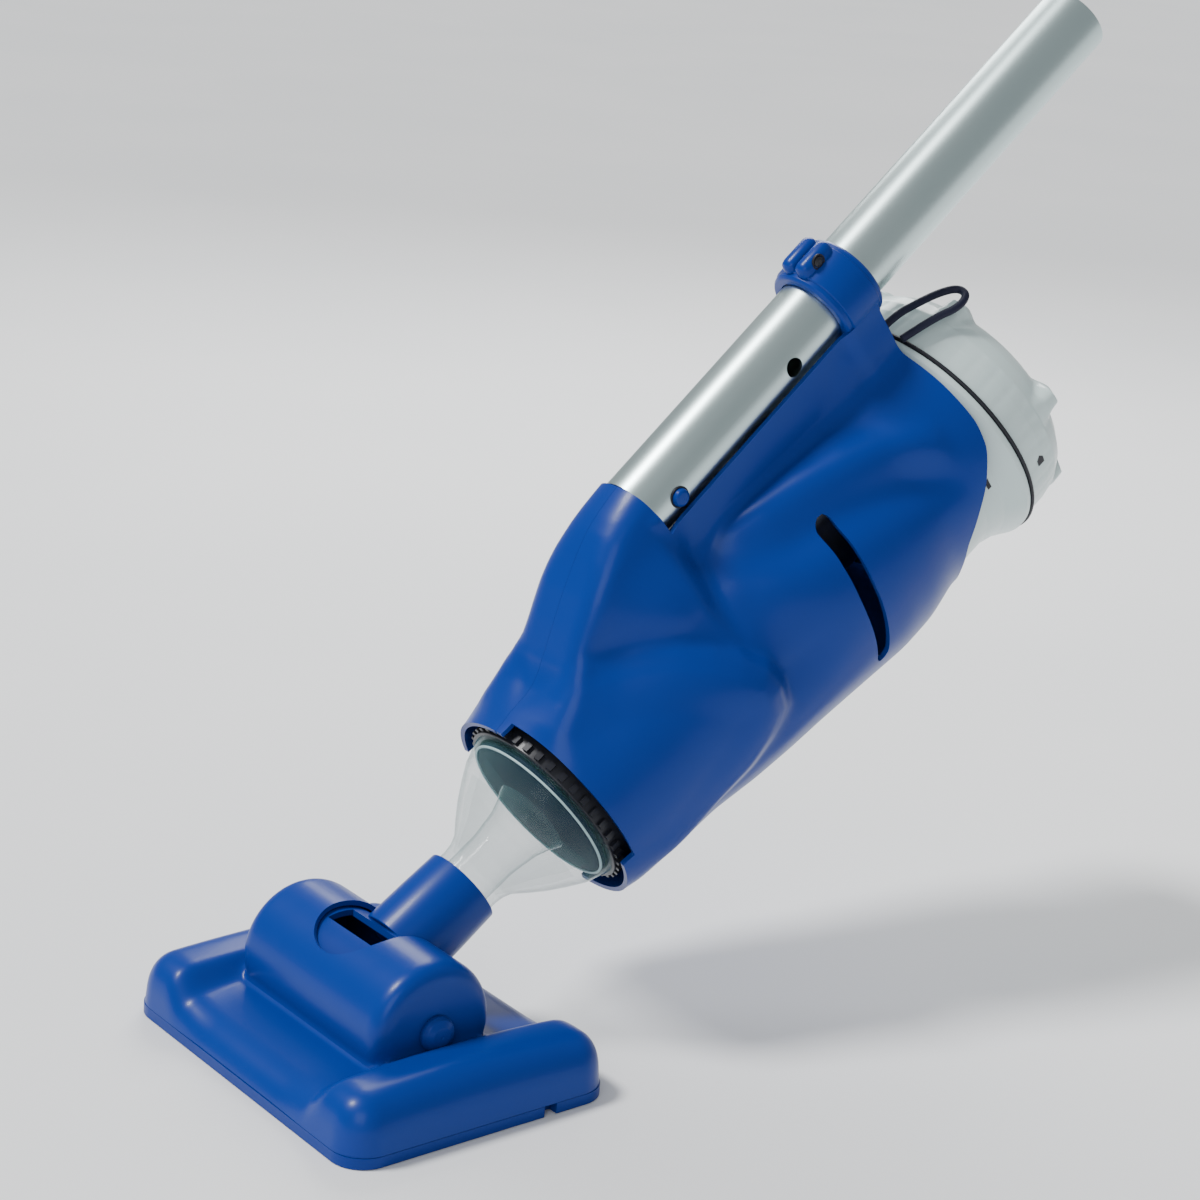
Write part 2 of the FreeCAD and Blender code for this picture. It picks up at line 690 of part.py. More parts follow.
TETHER = (  # (station, height above the nose axis, y): from the shell's root round to the post
    (338.5, 69.0, -14.0), (351.0, 70.2, -14.6), (364.0, 67.4, -16.0), (375.5, 64.6, -18.0),
    (382.6, 62.4, -22.0), (381.6, 60.6, -27.6), (373.5, 60.4, -28.8), (363.5, 62.2, -24.8),
    (347.0, 62.4, -20.0),
)


def arc_route(points):
    """Straight runs joined by tangent arcs, as large as the two runs allow."""
    edges, radii = [], []
    last = points[0]
    for before, corner, after in zip(points, points[1:], points[2:]):
        arriving, leaving = corner - before, after - corner
        half_turn = arriving.getAngle(leaving) / 2
        reach = 0.45 * min(arriving.Length, leaving.Length)
        radii.append(reach / math.tan(half_turn))
        arriving.normalize()
        leaving.normalize()
        start, end = corner - arriving * reach, corner + leaving * reach
        inward = leaving - arriving
        inward.normalize()
        sag = radii[-1] / math.cos(half_turn) - radii[-1]
        edges.append(Part.LineSegment(last, start).toShape())
        edges.append(Part.Arc(start, corner + inward * sag, end).toShape())
        last = end
    edges.append(Part.LineSegment(last, points[-1]).toShape())
    print("tether radii", [round(radius, 1) for radius in radii])
    return Part.Wire(edges)


def tether():
    """The elastic loop. A swept tube along hand-chosen points suits no primitive."""
    points = [Vector(-height, y, station) for station, height, y in TETHER]
    route = arc_route(points)
    circle = Part.Circle(points[0], points[1] - points[0], d.tether_radius.value)
    tube = route.makePipeShell([Part.Wire(circle.toShape())], True, False)
    print("tether length", round(route.Length, 1), "volume ratio",
          round(tube.Volume / (route.Length * math.pi * d.tether_radius.value ** 2), 4))
    loop = doc.addObject("Part::Feature", "tether_tube")
    loop.Shape = tube
    finish("tether_loop", loop, "nose")


# ---------------------------------------------------------------- build, check and write

def check():
    """Stop if any feature failed or any sub-part is empty or invalid."""
    failed = [item.Name for item in doc.Objects if {"Invalid", "Error"} & set(item.State)]
    if failed:
        raise RuntimeError(f"features failed: {failed}")
    idle = [result.Name for result, base in CHAINS if result.Shape.Volume > base.Shape.Volume - 1]
    if idle:
        raise RuntimeError(f"cuts that took nothing away: {idle}")
    for label, solid in PARTS:
        shape = solid.Shape
        if shape.isNull() or not shape.isValid() or not shape.Solids:
            raise RuntimeError(f"{label} has no valid solid")
        print(f"{label:20s} {len(shape.Solids):3d} solid(s) {shape.Volume / 1000:9.2f} cm3")


def main():
    for make in (
        head_top_shell, head_sole, head_neck, pivot_pins, nose_cone, valve_parts, filter_parts,
        shells, shell_fasteners, pole_parts, rear_housing, drive_parts, battery_parts, end_cap, tether,
    ):
        make()
    doc.recompute()
    check()
    os.makedirs("parts", exist_ok=True)
    for label, solid in PARTS:
        solid.Shape.exportStep(f"parts/{label}.step")


main()
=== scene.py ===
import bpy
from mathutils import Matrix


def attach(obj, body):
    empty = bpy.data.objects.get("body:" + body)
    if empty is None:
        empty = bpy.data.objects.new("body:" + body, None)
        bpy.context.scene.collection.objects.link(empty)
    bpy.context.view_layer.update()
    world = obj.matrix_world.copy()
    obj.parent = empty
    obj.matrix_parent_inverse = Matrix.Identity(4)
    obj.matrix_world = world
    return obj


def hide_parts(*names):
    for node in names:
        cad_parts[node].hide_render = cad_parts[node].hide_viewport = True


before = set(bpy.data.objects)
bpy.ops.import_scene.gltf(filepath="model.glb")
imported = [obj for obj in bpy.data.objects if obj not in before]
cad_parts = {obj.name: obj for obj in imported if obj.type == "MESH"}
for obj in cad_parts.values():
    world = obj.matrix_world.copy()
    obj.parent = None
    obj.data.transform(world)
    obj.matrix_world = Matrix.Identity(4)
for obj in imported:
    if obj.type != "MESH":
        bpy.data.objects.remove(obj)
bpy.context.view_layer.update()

import math
from contextlib import contextmanager

import bmesh
import bpy
import numpy as np
from mathutils import Matrix, Vector

MM = 0.001
SHELL_WALL = 2.2                         # millimetres of the moulded blue shells


# ---------------------------------------------------------------- frames, in millimetres

def slanted(origin, angle):
    """A frame whose first axis leans up from +X by an angle, and whose second is above it."""
    c, s = math.cos(math.radians(angle)), math.sin(math.radians(angle))
    return np.array(origin, float), np.array([c, 0, s]), np.array([-s, 0, c])


PIVOT_HEIGHT = 30.7                      # the head's hinge axis above the floor
NOSE_ANGLE, REAR_ANGLE, POLE_ANGLE = 35.45, 38, 40.93     # degrees up from the floor
REAR_STATION = 351                       # where the motor housing meets the body, along the nose axis
SADDLE_START = (200, 79.1)               # the pole's lower end, along and above the nose axis
BUTTON_STATION = 20.5                    # the snap button, along the pole

PIVOT = np.array([0, 0, PIVOT_HEIGHT])
HEAD = slanted((0, 0, 0), 0)
NOSE = slanted(PIVOT, NOSE_ANGLE)
REAR = slanted(PIVOT + REAR_STATION * NOSE[1], REAR_ANGLE)
POLE = slanted(PIVOT + SADDLE_START[0] * NOSE[1] + SADDLE_START[1] * NOSE[2], POLE_ANGLE)
TILT = math.radians(POLE_ANGLE - NOSE_ANGLE)     # the pole leans this much more than the nose


def to_row(place, points):
    """Points (along, above, side) of a frame, as row-frame points in metres."""
    origin, along, above = place
    p = np.asarray(points, float)
    side = np.array([0, 1, 0])
    row = origin + p[:, :1] * along + p[:, 1:2] * above + p[:, 2:3] * side
    return row * MM


# ---------------------------------------------------------------- materials

def principled(name, color, roughness=0.4, **sockets):
    """A plain Principled material and its node tools."""
    m = bpy.data.materials.new(name)
    m.use_nodes = True
    shader = m.node_tree.nodes["Principled BSDF"]
    shader.inputs["Base Color"].default_value = (*color, 1)
    shader.inputs["Roughness"].default_value = roughness
    for key, value in sockets.items():
        shader.inputs[key.replace("_", " ")].default_value = value
    return m


def noise(m, scale, detail=3, stretch=None):
    """A noise texture on object coordinates, stretched by a (turn, size) pair if one is given."""
    nodes, links = m.node_tree.nodes, m.node_tree.links
    coords = nodes.new("ShaderNodeTexCoord")
    texture = nodes.new("ShaderNodeTexNoise")
    texture.inputs["Scale"].default_value = scale
    texture.inputs["Detail"].default_value = detail
    source = coords.outputs["Object"]
    if stretch is not None:
        turn, size = stretch
        mapping = nodes.new("ShaderNodeMapping")
        mapping.inputs["Rotation"].default_value = turn
        mapping.inputs["Scale"].default_value = size
        links.new(source, mapping.inputs["Vector"])
        source = mapping.outputs["Vector"]
    links.new(source, texture.inputs["Vector"])
    return texture.outputs["Fac"]


def ramp(m, source, stops):
    """A smooth colour ramp between (position, colour or grey) stops."""
    node = m.node_tree.nodes.new("ShaderNodeValToRGB")
    elements = node.color_ramp.elements
    while len(elements) < len(stops):
        elements.new(0.5)
    node.color_ramp.interpolation = "EASE"
    for element, (position, value) in zip(elements, stops):
        element.position = position
        element.color = (value, value, value, 1) if isinstance(value, (int, float)) else (*value, 1)
    m.node_tree.links.new(source, node.inputs["Fac"])
    return node.outputs["Color"]


def feed(m, socket, source):
    """Link a node's output to a socket of the shader."""
    m.node_tree.links.new(source, m.node_tree.nodes["Principled BSDF"].inputs[socket])


def bump(m, source, strength, distance):
    """Surface grain from a node's output; the distance is in metres."""
    node = m.node_tree.nodes.new("ShaderNodeBump")
    node.inputs["Strength"].default_value = strength
    node.inputs["Distance"].default_value = distance
    m.node_tree.links.new(source, node.inputs["Height"])
    feed(m, "Normal", node.outputs["Normal"])


def moulded(name, color, roughness, coat, grain=0.03, shine=0.3):
    """Moulded plastic: slightly uneven colour and gloss, and a faint surface grain."""
    m = principled(name, color, roughness, Coat_Weight=coat, Coat_Roughness=0.12, Specular_IOR_Level=shine)
    dark, middle, light = [tuple(min(1, c * k) for c in color) for k in (0.95, 1.0, 1.04)]
    feed(m, "Base Color", ramp(m, noise(m, 14, 4), [(0.15, dark), (0.5, middle), (0.85, light)]))
    feed(m, "Roughness", ramp(m, noise(m, 45, 4), [(0.1, roughness * 0.92), (0.9, roughness * 1.1)]))
    bump(m, noise(m, 900, 2), grain, 0.0004)
    return m


BLUE = moulded("blue_gloss", (0.0, 0.03, 0.25), 0.34, 0.06, shine=0.22)
BLUE_DEEP = moulded("blue_satin", (0.0, 0.027, 0.23), 0.38, 0.04, shine=0.2)
GREY = moulded("pale_grey", (0.60, 0.72, 0.71), 0.3, 0.25)
BLACK = moulded("black_rubber", (0.012, 0.012, 0.018), 0.5, 0.05, 0.12)
NAVY = moulded("navy_rubber", (0.003, 0.005, 0.03), 0.5, 0.0, shine=0.05)
PLASTIC = moulded("black_plastic", (0.015, 0.016, 0.022), 0.4, 0.1, 0.06)
# pale colour for a painted highlight: the bright ring of light along the valve seat's edge
PAINTED_HIGHLIGHT = moulded("pale_painted_highlight", (0.55, 0.74, 0.76), 0.45, 0.0)
CORD = moulded("elastic_cord", (0.008, 0.009, 0.03), 0.55, 0.0, 0.2)
STEEL = principled("steel", (0.42, 0.43, 0.45), 0.3, Metallic=1.0)
bump(STEEL, noise(STEEL, 700, 2), 0.1, 0.0003)

CLEAR = principled("clear_nose", (0.10, 0.27, 0.27), 0.06, IOR=1.45, Specular_IOR_Level=0.8)
facing = CLEAR.node_tree.nodes.new("ShaderNodeLayerWeight")
facing.inputs["Blend"].default_value = 0.35
feed(CLEAR, "Alpha", ramp(CLEAR, facing.outputs["Facing"], [(0.0, 0.10), (0.45, 0.20), (1.0, 0.95)]))
bump(CLEAR, noise(CLEAR, 55, 2), 0.15, 0.0008)

METAL = principled("pole_metal", (0.60, 0.72, 0.72), 0.32, Metallic=1.0)
drawn = noise(METAL, 60, 3, ((0, math.radians(POLE_ANGLE), 0), (0.35, 40, 40)))     # lines along the pole
feed(METAL, "Roughness", ramp(METAL, drawn, [(0.2, 0.29), (0.8, 0.35)]))
bump(METAL, drawn, 0.02, 0.0002)
blotch = noise(METAL, 9, 3)
feed(METAL, "Base Color", ramp(METAL, blotch, [(0.2, (0.56, 0.69, 0.69)), (0.8, (0.64, 0.76, 0.75))]))


# ---------------------------------------------------------------- mesh tools

@contextmanager
def edited(mesh):
    """The mesh's own bmesh, written back at the end."""
    bm = bmesh.new()
    bm.from_mesh(mesh)
    yield bm
    bm.to_mesh(mesh)
    bm.free()


def new_mesh(name, points, faces):
    mesh = bpy.data.meshes.new(name)
    mesh.from_pydata([tuple(p) for p in points], [], [tuple(f) for f in faces])
    return mesh


def as_arrays(mesh):
    """The mesh's points as an array, and its faces as lists."""
    return np.array([v.co for v in mesh.vertices]), [list(p.vertices) for p in mesh.polygons]


def make_mesh(name, points, faces, material, body, replaces=(), smooth=True):
    """A mesh object from row-frame points in metres, riding on a body."""
    mesh = new_mesh(name, points, faces)
    mesh.validate()
    return dress(name, mesh, material, body, replaces, smooth)


def dress(name, mesh, material, body, replaces=(), smooth=True):
    """An object with one material, its body, and the CAD nodes it stands in for."""
    mesh.materials.append(material)
    if smooth:
        mesh.shade_smooth()
    piece = bpy.data.objects.new(name, mesh)
    bpy.context.scene.collection.objects.link(piece)
    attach(piece, body)
    if replaces:
        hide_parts(*replaces)
    return piece


def crease(mesh, angle=32):
    """Sharp shading at edges steeper than an angle."""
    with edited(mesh) as bm:
        bmesh.ops.recalc_face_normals(bm, faces=bm.faces)
        limit = math.radians(angle)
        for edge in bm.edges:
            edge.smooth = len(edge.link_faces) == 2 and edge.calc_face_angle(0) < limit


def rounded(profile, radius, closed=True, steps=4):
    """The profile with its corners turned into arcs; a corner's third number is its own radius."""
    out = []
    count = len(profile)
    for i, corner in enumerate(profile):
        r = corner[2] if len(corner) > 2 else radius
        p = np.array(corner[:2], float)
        if (not closed and i in (0, count - 1)) or r <= 0:
            out.append(tuple(p))
            continue
        a = np.array(profile[i - 1][:2], float)
        b = np.array(profile[(i + 1) % count][:2], float)
        u, v = a - p, b - p
        lu, lv = np.linalg.norm(u), np.linalg.norm(v)
        if lu < 1e-6 or lv < 1e-6:
            out.append(tuple(p))
            continue
        u, v = u / lu, v / lv
        half = math.acos(max(-1, min(1, float(u @ v)))) / 2
        if half > math.radians(87):
            out.append(tuple(p))
            continue
        reach = min(r / math.tan(half), 0.45 * min(lu, lv))
        start, end = p + u * reach, p + v * reach
        for k in range(steps + 1):
            t = k / steps
            out.append(tuple((1 - t) ** 2 * start + 2 * t * (1 - t) * p + t * t * end))
    return out


def lathe(name, place, profile, material, body, replaces=(), radius=0.6, turns=96,
          shift=(0, 0), bulge=None, across=False, sharp=40, closed=True):
    """A (radius, along) profile turned about a frame's axis, or about Y when across.

    The bulge, when given, is a function that changes the radius at a station and an angle."""
    line = rounded(profile, radius, closed)
    angles = np.linspace(0, 2 * math.pi, turns, endpoint=False)
    points = []
    for angle in angles:
        for r, z in line:
            if bulge:
                r = bulge(r, z, angle)
            a, b = r * math.cos(angle), r * math.sin(angle)
            points.append((b + shift[0], a + shift[1], z) if across else (z, a + shift[0], b + shift[1]))
    n = len(line)
    faces = []
    for i in range(turns):
        j = (i + 1) % turns
        for k in range(n if closed else n - 1):
            following = (k + 1) % n
            faces.append((i * n + k, j * n + k, j * n + following, i * n + following))
    mesh = new_mesh(name, to_row(place, points), faces)
    with edited(mesh) as bm:
        bmesh.ops.remove_doubles(bm, verts=bm.verts, dist=1e-6)
        bmesh.ops.dissolve_degenerate(bm, edges=bm.edges, dist=1e-7)
    crease(mesh, sharp)
    return dress(name, mesh, material, body, replaces)


BOX_FACES = [(0, 1, 3, 2), (4, 6, 7, 5), (0, 4, 5, 1), (2, 3, 7, 6), (0, 2, 6, 4), (1, 5, 7, 3)]


def block(name, place, low, high, material, body, replaces=(), width=0.5):
    """A box between two (along, above, side) corners, with rounded edges."""
    corners = [(x, z, y) for x in (low[0], high[0]) for z in (low[1], high[1]) for y in (low[2], high[2])]
    mesh = new_mesh(name, to_row(place, corners), BOX_FACES)
    with edited(mesh) as bm:
        bmesh.ops.recalc_face_normals(bm, faces=bm.faces)
        bmesh.ops.bevel(bm, geom=bm.edges[:], offset=width * MM, segments=3, affect="EDGES", profile=0.5)
    crease(mesh, 40)
    return dress(name, mesh, material, body, replaces)


def surface_nets(field, low, high, cell, relax=2):
    """A quad mesh of the surface where a field is zero, its points moved onto the surface."""
    axes = [np.arange(a, b + cell, cell) for a, b in zip(low, high)]
    grid = np.meshgrid(*axes, indexing="ij")
    value = field(*grid)
    inside = value < 0
    shape = np.array(value.shape) - 1
    total = np.zeros((*shape, 3))
    count = np.zeros(tuple(shape))

    def corner(array, offset):
        return array[tuple(slice(o, o + n) for o, n in zip(offset, shape))]

    for axis in range(3):
        others = [a for a in range(3) if a != axis]
        for u in (0, 1):
            for v in (0, 1):
                first = [0, 0, 0]
                first[others[0]], first[others[1]] = u, v
                second = list(first)
                second[axis] = 1
                f0, f1 = corner(value, first), corner(value, second)
                crossing = corner(inside, first) != corner(inside, second)
                t = np.where(crossing, f0 / np.where(crossing, f0 - f1, 1), 0)
                for a in range(3):
                    total[..., a] += np.where(crossing, t if a == axis else first[a], 0)
                count += crossing
    used = count > 0
    number = np.full(tuple(shape), -1)
    number[used] = np.arange(used.sum())
    where = np.argwhere(used)
    points = (total[used] / count[used][:, None] + where) * cell + np.array(low)
    faces = []
    for axis in range(3):
        u, v = [(1, 2), (2, 0), (0, 1)][axis]
        lead = [slice(None)] * 3
        lead[axis] = slice(0, -1)
        after = [slice(None)] * 3
        after[axis] = slice(1, None)
        change = inside[tuple(lead)] != inside[tuple(after)]
        start_inside = inside[tuple(lead)]
        spots = np.argwhere(change)
        keep = (spots[:, u] > 0) & (spots[:, v] > 0) & (spots[:, u] < shape[u]) & (spots[:, v] < shape[v])
        spots = spots[keep]
        flags = start_inside[tuple(spots.T)]
        ring = []
        for du, dv in ((1, 1), (0, 1), (0, 0), (1, 0)):
            at = spots.copy()
            at[:, u] -= du
            at[:, v] -= dv
            ring.append(number[tuple(at.T)])
        quads = np.stack(ring, axis=1)
        quads[~flags] = quads[~flags][:, ::-1]
        faces.append(quads)
    faces = np.concatenate(faces)
    for step in range(relax + 1):
        if step:
            near, weight = np.zeros_like(points), np.zeros(len(points))
            for a, b in ((0, 1), (1, 2), (2, 3), (3, 0)):
                for i, j in ((faces[:, a], faces[:, b]), (faces[:, b], faces[:, a])):
                    np.add.at(near, i, points[j])
                    np.add.at(weight, i, 1)
            points = 0.5 * points + 0.5 * near / np.maximum(weight, 1)[:, None]
        for _ in range(2):
            points = onto_surface(field, points, cell)
    return points, faces


def onto_surface(field, points, limit):
    """One Newton step towards the surface, no longer than a limit."""
    h = 0.15
    f = field(*points.T)
    slope = np.stack([
        (field(*(points + d).T) - field(*(points - d).T)) / (2 * h) for d in np.eye(3) * h
    ], axis=1)
    step = f[:, None] * slope / np.maximum((slope ** 2).sum(1), 0.05)[:, None]
    length = np.linalg.norm(step, axis=1)
    return points - step * np.minimum(1, limit / np.maximum(length, 1e-9))[:, None]


def smin(a, b, k):
    """The smaller of two, blended where they are within k of each other."""
    h = np.maximum(k - np.abs(a - b), 0) / k
    return np.minimum(a, b) - h * h * k / 4


def smax(a, b, k):
    return -smin(-a, -b, k)


def rise(x, start, end):
    """0 before the start, 1 after the end, and a smooth step between."""
    t = np.clip((x - start) / (end - start), 0, 1)
    return t * t * (3 - 2 * t)


def outline_distance(x, z, points, closed=True):
    """Distance to a polygon, negative inside, or to an open line of points."""
    best = np.full(x.shape, 1e9)
    inside = np.zeros(x.shape, bool)
    pairs = list(zip(points, points[1:] + points[:1])) if closed else list(zip(points, points[1:]))
    for (ax, az), (bx, bz) in pairs:
        ex, ez = bx - ax, bz - az
        t = np.clip(((x - ax) * ex + (z - az) * ez) / (ex * ex + ez * ez), 0, 1)
        best = np.minimum(best, (x - ax - ex * t) ** 2 + (z - az - ez * t) ** 2)
        if closed and bz != az:
            crosses = (az > z) != (bz > z)
            inside ^= crosses & (x < (bx - ax) * (z - az) / (bz - az) + ax)
    best = np.sqrt(best)
    return np.where(inside, -best, best) if closed else best


def smooth_curve(stations, values, width):
    """A smooth function through a table, averaged over a width."""
    dense = np.arange(stations[0] - 40, stations[-1] + 40, 0.5)
    raw = np.interp(dense, stations, values)
    kernel = np.hanning(int(width / 0.5) | 1)
    kernel /= kernel.sum()
    soft = np.convolve(np.pad(raw, len(kernel) // 2, mode="edge"), kernel, mode="valid")
    return lambda s: np.interp(s, dense, soft)


def cut_faces(bm, faces, at, normal, **clear):
    """Cut faces by a plane, keeping both sides unless told to clear one."""
    geometry = list({e for f in faces for e in f.edges}) + list({v for f in faces for v in f.verts}) + faces
    bmesh.ops.bisect_plane(bm, geom=geometry, dist=1e-5, plane_co=at, plane_no=normal, **clear)


def cut_plane(bm, low_side, axis, value, faces=None):
    """Cut at a coordinate. low_side True drops what is below it, False above, None nothing."""
    normal = [0, 0, 0]
    normal[axis] = 1
    at = [0, 0, 0]
    at[axis] = value
    chosen = bm.faces[:] if faces is None else faces
    cut_faces(bm, chosen, at, normal, clear_inner=low_side is True, clear_outer=low_side is False)


def cut_curved(bm, low_side, edge):
    """Cut along a curved edge, whose first coordinate is a function of the other two."""
    for vert in bm.verts:
        vert.co.x -= edge(vert.co)
    cut_plane(bm, low_side, 0, 0)
    for vert in bm.verts:
        vert.co.x += edge(vert.co)


def thicken(piece):
    """Give a skin its moulded wall, inwards."""
    modifier = piece.modifiers.new("wall", "SOLIDIFY")
    modifier.thickness = SHELL_WALL * MM
    modifier.offset = -1
    modifier.use_rim = True


# ---------------------------------------------------------------- body shells

BARREL = (  # (station, centre above the axis, half-height, half-width)
    (105, -0.9, 47.6, 47.6), (112, -1.5, 49.2, 49.0), (130, -1.9, 50, 50.2), (157, -0.5, 51.8, 52),
    (180, -1, 54.6, 54.6), (200, -1, 56.3, 56.3), (220, -1, 57.4, 57.4), (245, -0.5, 59.6, 59.6),
    (270, -1, 61.2, 61.2), (288, -0.5, 60.8, 60.8), (305, 1.5, 57.6, 59), (330, 2, 59.6, 60.6),
    (352, 2.5, 61.6, 62.5),
)
barrel_middle, barrel_height, barrel_width = [
    smooth_curve([row[0] for row in BARREL], [row[column] for row in BARREL], 16) for column in (1, 2, 3)
]
REAR_EDGE = (  # (height, station) of the shell's rear edge
    (110, 342.5), (48, 342.5), (30, 341.8), (19, 339), (5, 330), (-5, 321), (-16, 312), (-30, 308), (-80, 306),
)
rear_edge = smooth_curve([-h for h, s in REAR_EDGE], [s for h, s in REAR_EDGE], 10)
SIDE_RADIUS = 53                         # the body's mean radius
DEGREE = math.pi / 180 * SIDE_RADIUS     # millimetres round the side for one degree
CHEEK = [  # (station, degrees up from the side) round the raised front cheek
    (85, 88), (110, 84), (124, 78), (136, 72), (150, 67), (164, 57), (177, 46), (186, 36), (194, 25), (200, 13),
    (201.5, 3), (199, -8), (190, -17), (176, -26), (153, -34), (130, -42), (105, -48), (85, -50),
]
CHEEK_LINE = [(s, a * DEGREE) for s, a in CHEEK]
SHOULDER = [  # (station, degrees) along the crest beside the saddle
    (214, 74), (227, 71), (245, 65), (265, 60), (288, 53), (302, 48), (322, 37),
]
SHOULDER_LINE = [(s, a * DEGREE) for s, a in SHOULDER]
FRONT_ROOT = [  # (station, height) of the rising root of the saddle
    (122, 20), (122, 42), (130, 48), (138.5, 57), (151, 67), (162, 75.5), (174.6, 84), (184, 89.5), (191, 92.6),
    (200, 95.8), (206, 97.6), (214, 100), (214, 20),
]
REAR_ROOT = [(300, 44), (299, 56), (318, 73.6), (336, 74.6), (352, 73), (352, 44)]
SPINE = [(3, 3.2), (146, 3.2), (146, -45), (3, -45)]        # the saddle's ridge, in the pole's frame
CLAMP_LOBE = [(122, 3.2), (147, 3.2), (147, -45), (122, -45)]
SPINE_HALF, LOBE_HALF, REAR_ROOT_HALF = 18.4, 20.0, 16      # half-widths
ROOT_TOP = 18.6                          # the front root's radius round the pole's axis
VALLEY, CROWN, RIDGE, SCOOP = 7.0, 2.4, 3.6, 3.6            # depths and heights of the moulded relief
FRONT_EDGE, FRONT_STEP = 105, 6.0        # the front edge's station, and how far its notch steps back


def pole_coordinates(s, n):
    """Stations and heights in the pole's frame."""
    ds, dn = s - SADDLE_START[0], n - SADDLE_START[1]
    return ds * math.cos(TILT) + dn * math.sin(TILT), dn * math.cos(TILT) - ds * math.sin(TILT)


def slab(distance, side, half_width, radius):
    """A flat shape given by its outline distance, with a half-width and rounded edges."""
    a, b = distance + radius, side - half_width + radius
    return np.hypot(np.maximum(a, 0), np.maximum(b, 0)) + np.minimum(np.maximum(a, b), 0) - radius


def body_field(s, n, y):
    """Negative inside the body: a barrel with moulded relief, joined to the saddle and its roots."""
    side = np.abs(y)
    middle, tall, wide = barrel_middle(s), barrel_height(s), barrel_width(s)
    up = n - middle
    angle = np.degrees(np.arctan2(n, side + 1e-6))
    round_side = angle * DEGREE
    cheek = outline_distance(s, round_side, CHEEK_LINE)
    valley = VALLEY * rise(cheek, -2, 9) * np.exp(-(np.maximum(cheek - 9, 0) / 22) ** 2)
    valley = valley * rise(angle, -30, 6) * rise(s, 112, 146)
    crown = CROWN * rise(-cheek, -1, 9) * rise(s, 106, 140) * (1 - 0.6 * rise(-cheek, 10, 26))
    crest = outline_distance(s, round_side, SHOULDER_LINE, False)
    above_crest = np.interp(s, [p[0] for p in SHOULDER], [p[1] for p in SHOULDER]) - angle
    ridge = RIDGE * np.exp(-(crest / 8) ** 2) * rise(s, 204, 232) * (1 - rise(s, 312, 338))
    scoop = SCOOP * np.exp(-((above_crest - 20) / 10) ** 2) * rise(s, 214, 250) * (1 - rise(s, 300, 335))
    grow = crown + ridge - valley - scoop
    a, b = tall + grow, wide + grow
    k0 = np.hypot(up / a, y / b)
    k1 = np.hypot(up / a ** 2, y / b ** 2)
    barrel = k0 * (k0 - 1) / np.maximum(k1, 1e-6)
    t, height = pole_coordinates(s, n)
    round_top = np.hypot(y, np.maximum(height, 0) * 1.08) - ROOT_TOP
    spread = (3 + 13 * rise(s, 148, 190)) * rise(-n, -86, -46) * (1 - rise(s, 196, 214))
    root = smax(outline_distance(s, n, FRONT_ROOT), (round_top - spread) * 0.9, 8)
    shape = smin(barrel, root, 17 - 9 * rise(s, 196, 216))
    spine = slab(outline_distance(t, height, SPINE), side, SPINE_HALF, 1.5)
    lobe = slab(outline_distance(t, height, CLAMP_LOBE), side, LOBE_HALF, 5)
    shape = smin(shape, smin(spine, lobe, 4), 4)
    rear = slab(outline_distance(s, n, REAR_ROOT), side, REAR_ROOT_HALF, 9)
    return smin(shape, rear, 12)


# The gill slot: (height, station) along its middle, its lower and upper ends, and its half-width.
SLOT_LINE = [(-34, 252.2), (-28.5, 253), (-9.4, 254.4), (10, 256), (25, 258), (37.6, 260.6), (44, 262.6)]
SLOT_LOW, SLOT_HIGH, SLOT_HALF = -31.5, 41.5, 4.4


def slot_centre(n):
    return float(np.interp(n, [p[0] for p in SLOT_LINE], [p[1] for p in SLOT_LINE]))


def slot_half(n):
    """The gill's half-width: round at the top, narrowing towards the bottom."""
    t = (n - SLOT_LOW) / (SLOT_HIGH - SLOT_LOW)
    if not 0 < t < 1:
        return 0.05
    lean = 0.74 + 0.26 * min(1, t * 2.2)
    top = math.sqrt(max(0, 1 - max(0, (t - 0.93) / 0.07) ** 2))
    bottom = math.sqrt(max(0, 1 - max(0, (0.06 - t) / 0.06) ** 2))
    return max(0.05, SLOT_HALF * lean * top * bottom)


def cut_slanted(bm, at, normal, near):
    """Cut the faces whose middle passes a test by a plane, keeping both sides."""
    cut_faces(bm, [f for f in bm.faces if near(f.calc_center_median())], at, normal)


def half_body(notch):
    """The skin of one shell half, with its openings cut, as (along, above, side) points.

    The notch is the pair of angles up from the side between which the front edge steps back."""
    cell = 1.7
    points, faces = surface_nets(body_field, (100, -66, -4.5), (354, 104, 68), cell)
    mesh = new_mesh("half", points.tolist(), faces.tolist())
    ramp_half = 0.6                      # degrees either side of a notch angle, over which the edge steps

    def around(c):
        return math.degrees(math.atan2(c.y, c.z))

    def front(c):
        step = min(around(c) - notch[0], notch[1] - around(c))
        return FRONT_EDGE + FRONT_STEP * min(1.0, max(0.0, (step + ramp_half) / (2 * ramp_half)))

    with edited(mesh) as bm:
        cut_plane(bm, True, 2, 0.05)
        for degrees in notch:
            for nudge in (-ramp_half, ramp_half):
                a = math.radians(degrees + nudge)
                cut_slanted(bm, (0, 0, 0), (0, math.cos(a), -math.sin(a)),
                            lambda c, at=degrees: c.x < 118 and abs(around(c) - at) < 8)
        cut_curved(bm, True, front)
        cut_curved(bm, False, lambda c: float(rear_edge(-c.y)))
        cut_saddle(bm)
        cut_gill(bm)
        cut_belly_slots(bm)
    return mesh


BELLY_SLOTS = (207, 227)                 # stations of the two small slots under the body
BELLY_HALF, BELLY_SIDES = 3.2, (15, 22)  # their half-length, and where they start and end to the side


